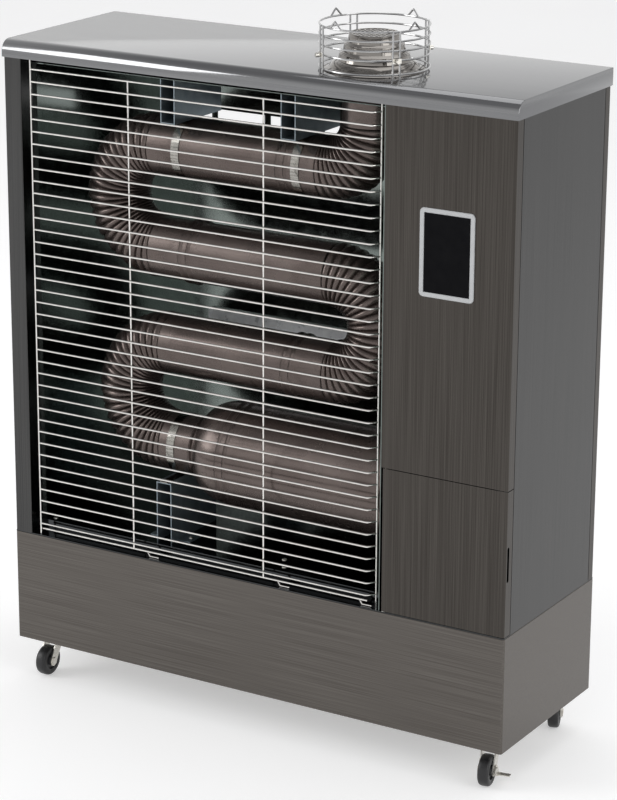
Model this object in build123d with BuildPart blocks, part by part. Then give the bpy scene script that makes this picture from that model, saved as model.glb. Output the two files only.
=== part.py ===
from build123d import *
import os
from math import atan2, cos, degrees, hypot, pi, radians, sin

# Cabinet diesel infrared heater: a sheet-metal cabinet on four casters. A burner behind the service
# door fires into a drum, and the flue gas then climbs through three crossing tubes to the flue.
# Millimetres. X runs along the front, Y from the front to the back, Z up from the floor.
# The origin is on the floor under the middle of the cabinet.

os.makedirs("parts", exist_ok=True)

# Cabinet sizes
body_width = 900.0
body_depth = 304.0
caster_height = 68.0
plinth_height = 186.0
upper_height = 784.0
cap_height = 27.0
cap_overhang = 1.5
cap_round = 19.0
sheet = 1.2
bend = 2.0
plinth_corner = 4.0
plinth_step = 1.0
plinth_flange = 14.0
post_width = 31.0
post_return = 37.0
side_flange = 19.0
rear_flange = 16.0
groove = 1.5
groove_depth = 10.0
column_width = 214.0
panel_return = 12.0
door_height = 231.0
panel_gap = 1.2
rear_slot_margin = 8.0
corner_strip = 20.0
back_seam = 0.6
intake_slots = 10
intake_pitch = 14.0
intake_width = 110.0
intake_height = 5.0
intake_x = 340.0
intake_z = 560.0

# Heat chamber sizes
floor_rise = 20.0
ceiling_drop = 9.0
back_gap = 34.0
hem = 4.0
reflector_inset = 24.0
tube_y = -48.0
tube_radius = 48.0
tube_bore = 46.0
drum_radius = 83.0
drum_bore = 81.5
drum_z = 423.0
upper_z = 907.0
middle_z = 742.0
lower_z = 587.0
upper_left_x = -222.0
right_bend_x = 95.0
lower_left_x = -205.0
flue_x = 157.0
elbow_radius = 76.0
pleat_depth = 2.6
pleats_per_turn = 24
pleat_sides = 12
bore_sides = 12
bore_steps_per_turn = 16
tube_sides = 20
dome_steps = 5
bend_bore = 41.0
bead_height = 3.2
bead_width = 6.0
bead_pitch = 14.0
upper_bead_x = 23.0
middle_bead_x = -154.0
lower_bead_x = 33.0
neck_bead_x = -145.0
reducer_x = -136.0
drum_x = -82.0
vent_count = 5
vent_pitch = 100.0
vent_width = 89.0
vent_height = 30.0
vent_x = -81.0
vent_z = 918.0
rail_x = -240.0
rail_z = 584.0
rail_height = 35.0
rail_depth = 8.0

# Bracket sizes
bracket_metal = 1.6
hanger_width = 26.0
hanger_left_x = -168.0
hanger_right_x = 48.0
stand_x = -182.0
stand_width = 28.0
bracket_front = 38.0
bracket_depth = 131.0
foot_pitch = 52.0
foot_depth = 34.0
foot_y = -80.0
foot_screw = 2.0
floor_screws = ((24.0, -82.0), (41.0, -110.0), (-395.0, -115.0))
strap_width = 14.0
strap_metal = 1.2
strap_sides = 24
small_sides = 12
touch = 0.05

# Grille sizes
wire = 3.0
wire_count = 39
wire_pitch = 19.7
first_wire_z = 273.6
wire_front = 4.5
grille_left = 46.0
grille_corner = 660.0
tip_run = 9.0
tip_depth = 11.5
cross_wires = (229.0, 473.0)
sill_wire_z = 264.0
grille_hook = 24.0
right_margin = 620.0

# Display sizes
display_x = 340.5
display_z = 828.0
display_width = 90.0
display_height = 133.0
display_corner = 7.0
display_rim = 7.0
display_proud = 2.0
glass_thickness = 3.0
window_margin = 3.0
board_margin = 10.0
board_depth = 12.0
board_thickness = 1.6

# Service door sizes
hinge_radius = 5.0
hinge_gap = 1.6
hinge_pin = 2.0
pin_play = 0.05
pin_length = 20.0
door_lift = 2.0
door_return = 10.0
thrust_gap = 0.2
washer_radius = 4.5
finger_slot_height = 55.0
finger_slot_width = 6.0
finger_slot_z = 370.0
finger_slot_front = 4.0
catch_size = 14.0

# Burner and fuel sizes
burner_tube_radius = 40.0
burner_reach = 55.0
burner_plate = 120.0
burner_plate_metal = 3.0
fan_housing_radius = 66.0
fan_housing_width = 60.0
fan_housing_wall = 2.0
fan_axis_rise = 22.0
fan_radius = 56.0
fan_width = 40.0
fan_blades = 10
fan_blade_metal = 2.0
fan_blade = 20.0
shaft_radius = 5.0
shaft_seat = 40.0
shaft_clearance = 2.0
burner_throat = 38.0
motor_radius = 42.0
motor_length = 70.0
pump_size = 52.0
pump_length = 36.0
pump_corner = 6.0
filter_radius = 14.0
filter_height = 40.0
filter_z = 330.0
transformer_gap = 5.0
transformer_size = (44.0, 60.0, 62.0)
tank_left = 230.0
tank_right = 412.0
tank_depth = 250.0
tank_height = 130.0
tank_corner = 25.0
tank_wall = 2.0
neck_x = 372.0
neck_y = -98.0
neck_radius = 22.0
neck_bore = 19.0
neck_rise = 44.0
neck_gap = 1.0
fuel_cap_play = 0.3
fuel_cap_wall = 3.0
fuel_cap_skirt = 14.0
fuel_cap_grips = 8
line_radius = 3.0

# Power inlet sizes
inlet_x = 300.0
inlet_z = 330.0
inlet_width = 50.0
inlet_height = 30.0
inlet_proud = 1.5
inlet_depth = 24.0
inlet_wall = 3.0
inlet_pin = 2.0
inlet_pin_pitch = 11.0

# Flue sizes
guard_radius = 82.0
guard_wire = 3.0
guard_rings = (5.0, 26.0, 40.0, 54.0, 68.0)
guard_ear = 12.0
guard_ear_angle = 8.0
guard_post_angle = -98.0
guard_posts = 4
ear_lead = 23.0
ring_steps = 20
post_spread = 11.0
collar_steps = (
    (0.0, 77.0),
    (2.0, 77.0),
    (5.0, 66.0),
    (12.0, 60.0),
    (14.0, 54.0),
    (24.0, 52.0),
    (26.0, 47.0),
    (38.0, 45.0),
    (40.0, 40.0),
    (54.0, 38.0),
)
collar_bore = 44.0
collar_bore_height = 22.0
mesh_radius = 35.0
mesh_height = 54.0
mesh_cell = 16.0
mesh_bar = 2.4
mesh_count = 4

# Caster sizes
wheel_radius = 25.0
wheel_width = 18.0
wheel_sides = 28
hub_sides = 16
tyre_wall = 8.0
tyre_shoulder = 3.0
tyre_sections = (
    (-wheel_width / 2, wheel_radius - tyre_shoulder),
    (tyre_shoulder - wheel_width / 2, wheel_radius),
    (wheel_width / 2 - tyre_shoulder, wheel_radius),
    (wheel_width / 2, wheel_radius - tyre_shoulder),
)
tyre_seat = (
    (-wheel_width / 2, wheel_radius - tyre_wall),
    (wheel_width / 2, wheel_radius - tyre_wall),
)
kingpin_radius = 4.0
pin_head_radius = 6.5
pin_head = 1.6
caster_trail = 20.0
caster_inset_x = 40.0
caster_inset_y = 46.0
plate_size = 50.0
plate_metal = 2.5
race_radius = 17.0
race_height = 5.0
fork_metal = 2.2
fork_gap = 1.2
fork_play = 0.1
axle_radius = 4.0
axle_play = 0.05
leg_width = 18.0
crown_radius = 16.0
front_left_turn = 0.0
front_right_turn = 10.0
rear_left_turn = 160.0
rear_right_turn = 200.0
pedal_metal = 1.8
pedal_length = 26.0
pedal_drop = 13.0
pedal_foot = 18.0
pedal_play = 0.3

# Fasteners
screw_radius = 4.0
screw_height = 2.2
thumb_radius = 3.5
thumb_length = 7.0

# Levels and planes that the pieces share
half_width = body_width / 2
half_depth = body_depth / 2
deck_z = caster_height + plinth_height
roof_z = deck_z + upper_height
cap_z = roof_z + cap_height
body_z = deck_z + sheet
upper_x = half_width - plinth_step
upper_y = half_depth - plinth_step
front_y = -upper_y
opening_left = post_width - upper_x
column_left = upper_x - column_width
panel_z = deck_z + door_height + panel_gap
floor_z = deck_z + floor_rise
ceiling_z = roof_z - ceiling_drop
back_y = upper_y - back_gap
partition_x = column_left - sheet
bracket_y = bracket_front - half_depth
strap_inner = (tube_radius + touch) / cos(pi / strap_sides)
strap_reach = tube_radius + touch + strap_metal * cos(pi / strap_sides)
housing_x = column_left + burner_plate_metal
motor_x = housing_x + fan_housing_width
pump_x = motor_x + motor_length
line_x = pump_x + pump_length / 2
fan_z = drum_z + fan_axis_rise
tank_z = caster_height + sheet
neck_top = deck_z + sheet + neck_rise
valley_radius = tube_radius - pleat_depth / 2
crest_radius = tube_radius + pleat_depth / 2


def keep(builder, name):
    """Label a finished piece and write its STEP file."""
    builder.part.label = name
    export_step(builder.part, f"parts/{name}.step")


def sheet_outline(points, thickness):
    """Outline of a folded sheet: its outer fold line, and the same line set in to the left of it."""
    inner = []
    last = len(points) - 1
    for i, (x, y) in enumerate(points):
        normals = []
        for a, b in ((i - 1, i), (i, i + 1)):
            if a < 0 or b > last:
                continue
            run_x = points[b][0] - points[a][0]
            run_y = points[b][1] - points[a][1]
            run = hypot(run_x, run_y)
            normals.append((-run_y / run, run_x / run))
        nx = sum(n[0] for n in normals) / len(normals)
        ny = sum(n[1] for n in normals) / len(normals)
        stretch = thickness / (nx * nx + ny * ny)
        inner.append((x + nx * stretch, y + ny * stretch))
    return list(points) + inner[::-1]


def upright_edges(builder, corners):
    """The upright edges of a piece that stand at the given corners."""
    found = []
    for edge in builder.edges().filter_by(Axis.Z):
        at = edge.center()
        if any(hypot(at.X - x, at.Y - y) < 0.01 for x, y in corners):
            found.append(edge)
    return found


def bead_profile(start, end, radius, beads):
    """Places along a round tube and its radius there, with pointed beads at the given places."""
    points = [(start, radius)]
    for x in sorted(beads):
        points.append((x - bead_width / 2, radius))
        points.append((x, radius + bead_height))
        points.append((x + bead_width / 2, radius))
    return points + [(end, radius)]


def ring(plane, radius, sides):
    """Corners of a many-sided ring on a plane."""
    turns = [2 * pi * k / sides for k in range(sides)]
    return [plane.from_local_coords(Vector(radius * cos(t), radius * sin(t), 0)) for t in turns]


def rings_along_x(profile, y, z, sides):
    """Rings square to X through a profile of places and radii."""
    return [
        ring(Plane(origin=(x, y, z), x_dir=(0, 1, 0), z_dir=(1, 0, 0)), radius, sides)
        for x, radius in profile
    ]


def ring_walls(rings):
    """Flat three-cornered facets that join each ring to the next."""
    facets = []
    for a, b in zip(rings, rings[1:]):
        for k in range(len(a)):
            j = (k + 1) % len(a)
            facets.append(Face(Wire.make_polygon([a[k], a[j], b[j]])))
            facets.append(Face(Wire.make_polygon([a[k], b[j], b[k]])))
    return facets


def faceted_tube(outer, inner):
    """A hollow piece between two runs of rings that start and end on the same planes."""
    facets = ring_walls(outer) + ring_walls(inner)
    for end in (0, -1):
        facets.append(Face(Wire.make_polygon(outer[end]), [Wire.make_polygon(inner[end])]))
    return Solid(Shell(facets))


def bend_plane(x, z, radius, angle):
    """The plane across a bend at an angle measured from +X towards +Z."""
    a = radians(angle)
    return Plane(
        origin=(x + radius * cos(a), tube_y, z + radius * sin(a)),
        x_dir=(cos(a), 0, sin(a)),
        z_dir=(-sin(a), 0, cos(a)),
    )


def bend_rings(x, z, radius, start, sweep_angle, radii, sides):
    """Rings spaced evenly round a bend, one for each of the given ring radii."""
    step = sweep_angle / (len(radii) - 1)
    return [ring(bend_plane(x, z, radius, start + i * step), r, sides) for i, r in enumerate(radii)]


def rod(start, end):
    """A straight square wire between two points."""
    line = Vector(*end) - Vector(*start)
    with BuildPart() as piece:
        with BuildSketch(Plane(origin=start, z_dir=line)):
            Rectangle(guard_wire, guard_wire)
        extrude(amount=line.length)
    return piece.part


# Plinth: a folded pan with an inward flange round its top
with BuildPart() as base_plinth:
    with BuildSketch(Plane.XY.offset(caster_height)):
        RectangleRounded(body_width, body_depth, plinth_corner)
    extrude(amount=plinth_height)
    chamfer(base_plinth.edges().group_by(Axis.Z)[-1], plinth_step * 0.8)
    with BuildSketch(Plane.XY.offset(caster_height + sheet)):
        RectangleRounded(body_width - 2 * sheet, body_depth - 2 * sheet, plinth_corner - sheet)
    extrude(amount=plinth_height - 2 * sheet, mode=Mode.SUBTRACT)
    with BuildSketch(Plane.XY.offset(deck_z - sheet)):
        Rectangle(body_width - 2 * plinth_flange, body_depth - 2 * plinth_flange)
    extrude(amount=sheet, mode=Mode.SUBTRACT)
keep(base_plinth, "base_plinth")

# Deck: the plate over the plinth that carries the chamber and the burner
with BuildPart() as base_deck:
    with BuildSketch(Plane.XY.offset(deck_z)):
        Rectangle(2 * upper_x, 2 * upper_y)
        with Locations((neck_x, neck_y)):
            Circle(neck_radius + neck_gap, mode=Mode.SUBTRACT)
        with Locations((line_x, tube_y)):
            Circle(line_radius + neck_gap, mode=Mode.SUBTRACT)
    extrude(amount=sheet)
keep(base_deck, "base_deck")

# Left post: front strip, side flange and the deep return beside the grille
left_post_fold = [
    (-upper_x, front_y + side_flange),
    (-upper_x, front_y),
    (opening_left, front_y),
    (opening_left, front_y + post_return),
]
with BuildPart() as left_post:
    with BuildSketch(Plane.XY.offset(body_z)):
        with BuildLine():
            Polyline(sheet_outline(left_post_fold, sheet), close=True)
        make_face()
    extrude(amount=roof_z - body_z)
    fillet(upright_edges(left_post, left_post_fold[1:3]), bend)
keep(left_post, "left_post")

# Side panels, with a fold back at each end that makes the upright grooves
side_panel_fold = [
    (upper_x - groove_depth, front_y + side_flange + groove),
    (upper_x, front_y + side_flange + groove),
    (upper_x, upper_y - rear_flange - groove),
    (upper_x - groove_depth, upper_y - rear_flange - groove),
]
with BuildPart() as right_side_panel:
    with BuildSketch(Plane.XY.offset(body_z)):
        with BuildLine():
            Polyline(sheet_outline(side_panel_fold, sheet), close=True)
        make_face()
    extrude(amount=roof_z - body_z)
keep(right_side_panel, "right_side_panel")

with BuildPart() as left_side_panel:
    mirror(right_side_panel.part, about=Plane.YZ)
keep(left_side_panel, "left_side_panel")

# Back panel: a strip folded round each rear corner and four flat sheets between them, which leave
# one long hot-air slot. The right sheet has the burner's louvred intake and the power inlet's hole.
slot_z = vent_z - vent_height / 3
slot_top = slot_z + vent_height / 2 + rear_slot_margin
slot_bottom = slot_z - vent_height / 2 - rear_slot_margin
slot_left = vent_x - vent_pitch / 4 - vent_count * vent_pitch / 2
slot_right = slot_left + vent_count * vent_pitch
strip_edge = upper_x - corner_strip
corner_fold = [
    (upper_x, upper_y - rear_flange),
    (upper_x, upper_y),
    (strip_edge, upper_y),
]
back_sheets = (
    (back_seam - strip_edge, slot_left, body_z, slot_top - back_seam),
    (slot_left + back_seam, slot_right - back_seam, body_z, slot_bottom),
    (back_seam - strip_edge, strip_edge - back_seam, slot_top, roof_z),
)
with BuildPart() as corner_piece:
    with BuildSketch(Plane.XY.offset(body_z)):
        with BuildLine():
            Polyline(sheet_outline(corner_fold, sheet), close=True)
        make_face()
    extrude(amount=roof_z - body_z)
    fillet(upright_edges(corner_piece, corner_fold[1:2]), bend)
with BuildPart() as back_panel:
    add(corner_piece.part)
    mirror(corner_piece.part, about=Plane.YZ)
    for left, right, low, high in back_sheets:
        with BuildSketch(Plane.XZ.offset(-upper_y)):
            with Locations(((left + right) / 2, (low + high) / 2)):
                Rectangle(right - left, high - low)
        extrude(amount=sheet)
    with BuildSketch(Plane.XZ.offset(-upper_y)):
        with Locations(((slot_right + strip_edge - back_seam) / 2, (body_z + slot_top - back_seam) / 2)):
            Rectangle(strip_edge - back_seam - slot_right, slot_top - back_seam - body_z)
        with Locations((intake_x, intake_z)):
            with GridLocations(0, intake_pitch, 1, intake_slots):
                Rectangle(intake_width, intake_height, mode=Mode.SUBTRACT)
        with Locations((inlet_x, inlet_z)):
            Rectangle(inlet_width - 2 * inlet_wall, inlet_height - 2 * inlet_wall, mode=Mode.SUBTRACT)
    extrude(amount=sheet)
keep(back_panel, "back_panel")

# Cap: a folded lid with a rounded front edge, open below, holed for the flue
with BuildPart() as top_cover:
    with BuildSketch(Plane.XY.offset(roof_z)):
        Rectangle(body_width + 2 * cap_overhang, body_depth + 2 * cap_overhang)
    extrude(amount=cap_height)
    front_edge = top_cover.edges().filter_by(Axis.X).group_by(Axis.Z)[-1].sort_by(Axis.Y)[0]
    fillet(front_edge, cap_round)
    chamfer(top_cover.edges().filter_by(Axis.Y).group_by(Axis.Z)[-1], sheet)
    with BuildSketch(Plane.XY.offset(roof_z)):
        with Locations((0, cap_round / 2)):
            Rectangle(2 * upper_x, 2 * upper_y - cap_round)
    extrude(amount=cap_height - 2 * sheet, mode=Mode.SUBTRACT)
    with BuildSketch(Plane.XY.offset(roof_z)):
        with Locations((flue_x, tube_y)):
            Circle(tube_radius + neck_gap)
    extrude(amount=cap_height, mode=Mode.SUBTRACT)
keep(top_cover, "top_cover")

# Control panel: the fixed upper front of the column, with the display window
control_panel_fold = [
    (column_left, front_y + panel_return),
    (column_left, front_y),
    (upper_x, front_y),
    (upper_x, front_y + side_flange),
]
window_width = display_width - 2 * window_margin
window_height = display_height - 2 * window_margin
with BuildPart() as control_panel:
    with BuildSketch(Plane.XY.offset(panel_z)):
        with BuildLine():
            Polyline(sheet_outline(control_panel_fold, sheet), close=True)
        make_face()
    extrude(amount=roof_z - panel_z)
    fillet(upright_edges(control_panel, control_panel_fold[1:3]), bend)
    with BuildSketch(Plane.XZ.offset(upper_y)):
        with Locations((display_x, display_z)):
            Rectangle(window_width, window_height)
    extrude(amount=-sheet, mode=Mode.SUBTRACT)
keep(control_panel, "control_panel")

# Display bezel: a rounded frame that stands proud of the panel, with a sleeve through the window
glass_width = display_width - 2 * display_rim
glass_height = display_height - 2 * display_rim
with BuildPart() as display_bezel:
    with BuildSketch(Plane.XZ.offset(upper_y)):
        with Locations((display_x, display_z)):
            RectangleRounded(display_width, display_height, display_corner)
            Rectangle(glass_width, glass_height, mode=Mode.SUBTRACT)
    extrude(amount=display_proud)
    chamfer(display_bezel.edges().group_by(Axis.Y)[0], display_proud * 0.4)
    with BuildSketch(Plane.XZ.offset(upper_y)):
        with Locations((display_x, display_z)):
            Rectangle(window_width, window_height)
            Rectangle(glass_width, glass_height, mode=Mode.SUBTRACT)
    extrude(amount=-2 * sheet)
keep(display_bezel, "display_bezel")

with BuildPart() as display_glass:
    with BuildSketch(Plane.XZ.offset(upper_y + display_proud / 2)):
        with Locations((display_x, display_z)):
            Rectangle(glass_width, glass_height)
    extrude(amount=-glass_thickness)
keep(display_glass, "display_glass")

# Control board behind the display, on four spacers that stand on the panel's back
board_width = display_width + 2 * board_margin
board_height = display_height + 2 * board_margin
board_front = front_y + sheet + board_depth
with BuildPart() as control_board:
    with BuildSketch(Plane.XZ.offset(-board_front)):
        with Locations((display_x, display_z)):
            Rectangle(board_width, board_height)
    extrude(amount=-board_thickness)
    with BuildSketch(Plane.XZ.offset(-board_front)):
        with Locations((display_x, display_z)):
            with GridLocations(board_width - board_margin, board_height - board_margin, 2, 2):
                RegularPolygon(board_margin / 4, 6)
    extrude(amount=board_depth)
    with BuildSketch(Plane.XZ.offset(-board_front)):
        with Locations((display_x, display_z)):
            Rectangle(glass_width * 0.9, glass_height * 0.9)
    extrude(amount=board_depth + sheet + display_proud / 2 - glass_thickness)
keep(control_board, "control_board")

# Service door: a sheet rolled round its hinge pins on the left, folded back on the right
hinge_x = column_left + hinge_gap + hinge_radius
hinge_y = front_y + hinge_radius
door_z = deck_z + door_lift
door_top = panel_z - panel_gap
with BuildPart() as service_door:
    with BuildSketch(Plane.XY.offset(door_z)):
        with BuildLine():
            fold = [(hinge_x, front_y), (upper_x, front_y), (upper_x, front_y + side_flange)]
            Polyline(sheet_outline(fold, sheet), close=True)
        make_face()
        with Locations((hinge_x, hinge_y)):
            Circle(hinge_radius)
            Circle(hinge_pin + pin_play, mode=Mode.SUBTRACT)
    extrude(amount=door_top - door_z)
    fillet(upright_edges(service_door, [(upper_x, front_y)]), bend)
    for shelf_z in (door_z, door_top - sheet):
        with BuildSketch(Plane.XY.offset(shelf_z)):
            with Locations((hinge_x + 2 * hinge_radius, front_y + sheet)):
                Rectangle(
                    upper_x - sheet - hinge_x - 2 * hinge_radius,
                    door_return,
                    align=(Align.MIN, Align.MIN),
                )
        extrude(amount=sheet)
    with BuildSketch(Plane.YZ.offset(upper_x)):
        with Locations((front_y + finger_slot_front + finger_slot_width / 2, finger_slot_z)):
            SlotOverall(finger_slot_height, finger_slot_width, rotation=90)
    extrude(amount=-sheet, mode=Mode.SUBTRACT)
keep(service_door, "service_door")

# Hinge pins on their lugs, with the magnetic catch that holds the door's free edge
catch_y = front_y + side_flange + groove + sheet
with BuildPart() as door_fittings:
    with BuildSketch(Plane.XY.offset(deck_z + sheet)):
        with Locations((hinge_x, hinge_y)):
            RegularPolygon(washer_radius, small_sides)
    extrude(amount=door_lift - sheet - thrust_gap)
    with BuildSketch(Plane.XY.offset(deck_z + sheet)):
        with Locations((hinge_x, hinge_y)):
            Circle(hinge_pin)
    extrude(amount=pin_length)
    with BuildSketch(Plane.XY.offset(panel_z)):
        with Locations((column_left + sheet, front_y + sheet)):
            Rectangle(hinge_radius * 3, hinge_radius * 3, align=(Align.MIN, Align.MIN))
    extrude(amount=bracket_metal)
    with BuildSketch(Plane.XY.offset(panel_z)):
        with Locations((hinge_x, hinge_y)):
            Circle(hinge_pin)
    extrude(amount=-pin_length)
    with BuildSketch(Plane.XY.offset(finger_slot_z - catch_size)):
        with Locations((upper_x - sheet - catch_size / 2, catch_y + catch_size / 2)):
            Rectangle(catch_size, catch_size)
    extrude(amount=2 * catch_size)
keep(door_fittings, "door_fittings")

# Partition between the heat chamber and the burner, holed for the burner tube
partition_front = front_y + sheet
with BuildPart() as partition:
    with BuildSketch(Plane.YZ.offset(partition_x)):
        with Locations((partition_front, deck_z + sheet)):
            Rectangle(
                back_y - sheet - partition_front,
                roof_z - deck_z - sheet,
                align=(Align.MIN, Align.MIN),
            )
        with Locations((tube_y, drum_z)):
            Circle(burner_tube_radius + neck_gap, mode=Mode.SUBTRACT)
    extrude(amount=sheet)
keep(partition, "partition")

# Mirror-bright reflectors round the tubes: side, back with ceiling, and floor
with BuildPart() as side_reflector:
    with BuildSketch(Plane.XY.offset(floor_z)):
        with BuildLine():
            fold = [
                (opening_left + hem, front_y + post_return),
                (opening_left, front_y + post_return),
                (opening_left, back_y - sheet),
            ]
            Polyline(sheet_outline(fold[::-1], sheet), close=True)
        make_face()
    extrude(amount=ceiling_z - sheet - floor_z)
keep(side_reflector, "side_reflector")

reflector_front = front_y + reflector_inset
with BuildPart() as back_reflector:
    with BuildSketch(Plane.YZ.offset(opening_left)):
        with BuildLine():
            fold = [(back_y, floor_z), (back_y, ceiling_z), (reflector_front, ceiling_z)]
            Polyline(sheet_outline(fold, sheet), close=True)
        make_face()
    extrude(amount=partition_x - opening_left)
    with BuildSketch(Plane.XZ.offset(-back_y)):
        with Locations((vent_x, vent_z)):
            with GridLocations(vent_pitch, 0, vent_count, 1):
                Rectangle(vent_width, vent_height)
    extrude(amount=sheet, mode=Mode.SUBTRACT)
    with BuildSketch(Plane.XY.offset(ceiling_z)):
        with Locations((flue_x, tube_y)):
            Circle(tube_radius + neck_gap)
    extrude(amount=-sheet, mode=Mode.SUBTRACT)
keep(back_reflector, "back_reflector")

with BuildPart() as floor_reflector:
    with BuildSketch(Plane.YZ.offset(opening_left)):
        with BuildLine():
            fold = [
                (reflector_front, deck_z + sheet),
                (reflector_front, floor_z),
                (back_y - sheet, floor_z),
            ]
            Polyline(sheet_outline(fold, -sheet), close=True)
        make_face()
    extrude(amount=partition_x - opening_left)
keep(floor_reflector, "floor_reflector")

# Galvanised channel that stiffens the back reflector behind the tubes
with BuildPart() as wall_rail:
    with BuildSketch(Plane.YZ.offset(rail_x)):
        with BuildLine():
            fold = [
                (back_y - sheet, rail_z - rail_height / 2),
                (back_y - sheet - rail_depth, rail_z - rail_height / 2),
                (back_y - sheet - rail_depth, rail_z + rail_height / 2),
                (back_y - sheet, rail_z + rail_height / 2),
            ]
            Polyline(sheet_outline(fold, -sheet), close=True)
        make_face()
    extrude(amount=partition_x - rail_x)
keep(wall_rail, "wall_rail")

# Grille: bright wires across the opening, each bent back to the right-hand upright.
# The wires only touch where they are welded, so they stay separate solids.
wire_y = wire_front + wire / 2 - half_depth
upright_y = wire_y + wire
grille_x0 = grille_left + wire / 2 - half_width
grille_x1 = grille_corner - half_width
tip = Vector(grille_x1 + tip_run, wire_y + tip_depth, 0)
tip_angle = degrees(atan2(tip_depth, tip_run))
last_wire_z = first_wire_z + (wire_count - 1) * wire_pitch
with BuildPart() as grille_bar:
    with BuildLine():
        Polyline((grille_x0 + wire / 2, wire_y, 0), (grille_x1, wire_y, 0), tip)
    with BuildSketch(Plane.YZ.offset(grille_x0 + wire / 2)):
        with Locations((wire_y, 0)):
            Rectangle(wire, wire)
    sweep(transition=Transition.RIGHT)
grille_wires = [Pos(0, 0, first_wire_z + i * wire_pitch) * grille_bar.part for i in range(wire_count)]
right_upright = tip + Vector(tip_run, tip_depth, 0).normalized() * wire / 2
for x, y, turn in ((grille_x0, wire_y, 0), (right_upright.X, right_upright.Y, tip_angle)):
    with BuildPart() as upright:
        with BuildSketch(Plane.XY.offset(body_z)):
            with Locations((x, y)):
                Rectangle(wire, wire, rotation=turn)
        extrude(amount=roof_z - body_z)
    grille_wires.append(upright.part)
for x in cross_wires:
    with BuildPart() as cross_wire:
        with BuildSketch(Plane.XY.offset(sill_wire_z + wire / 2)):
            with Locations((x - half_width, upright_y)):
                Rectangle(wire, wire)
        extrude(amount=last_wire_z - sill_wire_z)
    grille_wires.append(cross_wire.part)
with BuildPart() as sill_wire:
    with BuildSketch(Plane.YZ.offset(grille_x0)):
        with Locations((upright_y, sill_wire_z)):
            Rectangle(wire, wire)
    extrude(amount=grille_x1 - grille_x0)
    with BuildSketch(Plane.XY.offset(body_z)):
        with Locations([(x - half_width + grille_hook, upright_y) for x in (*cross_wires, right_margin)]):
            Rectangle(wire, wire)
    extrude(amount=sill_wire_z - body_z)
grille_wires.append(sill_wire.part)
grille = Compound(children=grille_wires)
grille.label = "grille"
export_step(grille, "parts/grille.step")

# Combustion drum: beaded near its left end, with a dome that brings it down to its neck
neck_profile = bead_profile(lower_left_x, reducer_x, tube_radius, [neck_bead_x])
dome_profile = [
    (
        reducer_x + (drum_x - reducer_x) * (1 - cos(radians(90 * i / dome_steps))),
        tube_radius + (drum_radius - tube_radius) * sin(radians(90 * i / dome_steps)),
    )
    for i in range(1, dome_steps)
]
drum_beads = [drum_x + bead_width, drum_x + bead_width + bead_pitch]
drum_profile = bead_profile(drum_x, partition_x, drum_radius, drum_beads)
drum_inside = [
    (lower_left_x, tube_bore),
    (reducer_x + tube_radius - tube_bore, tube_bore),
    (drum_x, drum_bore),
    (partition_x, drum_bore),
]
with BuildPart() as combustion_drum:
    add(
        faceted_tube(
            rings_along_x(neck_profile + dome_profile + drum_profile, tube_y, drum_z, tube_sides),
            rings_along_x(drum_inside, tube_y, drum_z, tube_sides),
        )
    )
keep(combustion_drum, "combustion_drum")

# The three crossing tubes, each beaded where its lengths are joined
tube_runs = (
    ("lower_tube", lower_left_x, right_bend_x, lower_z, lower_bead_x),
    ("middle_tube", upper_left_x, right_bend_x, middle_z, middle_bead_x),
    ("upper_tube", upper_left_x, flue_x - elbow_radius, upper_z, upper_bead_x),
)
for name, start, end, z, bead_x in tube_runs:
    profile = bead_profile(start, end, tube_radius, [bead_x - bead_pitch / 2, bead_x + bead_pitch / 2])
    bore = [(start, tube_bore), (end, tube_bore)]
    with BuildPart() as tube:
        add(
            faceted_tube(
                rings_along_x(profile, tube_y, z, tube_sides),
                rings_along_x(bore, tube_y, z, bore_sides),
            )
        )
    keep(tube, name)

# The pleated bends, which turn the flue gas back at each end of its run
bends = (
    ("lower_left_bend", lower_left_x, (drum_z + lower_z) / 2, (lower_z - drum_z) / 2, 90, 180),
    ("right_bend", right_bend_x, (lower_z + middle_z) / 2, (middle_z - lower_z) / 2, -90, 180),
    ("upper_left_bend", upper_left_x, (middle_z + upper_z) / 2, (upper_z - middle_z) / 2, 90, 180),
    ("outlet_elbow", flue_x - elbow_radius, upper_z + elbow_radius, elbow_radius, -90, 90),
)
for name, x, z, radius, start, sweep_angle in bends:
    pleats = round(pleats_per_turn * sweep_angle / 360)
    pleat_radii = [valley_radius, crest_radius] * pleats + [valley_radius]
    bore_radii = [bend_bore] * (round(bore_steps_per_turn * sweep_angle / 360) + 1)
    with BuildPart() as bend_tube:
        add(
            faceted_tube(
                bend_rings(x, z, radius, start, sweep_angle, pleat_radii, pleat_sides),
                bend_rings(x, z, radius, start, sweep_angle, bore_radii, bore_sides),
            )
        )
    keep(bend_tube, name)

# Outlet pipe: the short upright from the elbow up into the flue collar
with BuildPart() as outlet_pipe:
    with BuildSketch(Plane.XY.offset(upper_z + elbow_radius)):
        with Locations((flue_x, tube_y)):
            RegularPolygon(tube_radius, tube_sides)
            RegularPolygon(tube_bore, bore_sides, mode=Mode.SUBTRACT)
    extrude(amount=cap_z - upper_z - elbow_radius)
keep(outlet_pipe, "outlet_pipe")

# Hangers: channels open to the front, that hold the upper tube up to the ceiling
hanger_z = upper_z + strap_reach
with BuildPart() as tube_hangers:
    for x in (hanger_left_x, hanger_right_x):
        with BuildSketch(Plane.XY.offset(hanger_z)):
            with Locations((x, bracket_y)):
                Rectangle(hanger_width, bracket_depth, align=(Align.CENTER, Align.MIN))
        extrude(amount=ceiling_z - sheet - hanger_z)
        with BuildSketch(Plane.XY.offset(hanger_z + bracket_metal)):
            with Locations((x, bracket_y)):
                Rectangle(
                    hanger_width - 2 * bracket_metal,
                    bracket_depth - bracket_metal,
                    align=(Align.CENTER, Align.MIN),
                )
        extrude(amount=ceiling_z - hanger_z, mode=Mode.SUBTRACT)
keep(tube_hangers, "tube_hangers")

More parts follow.
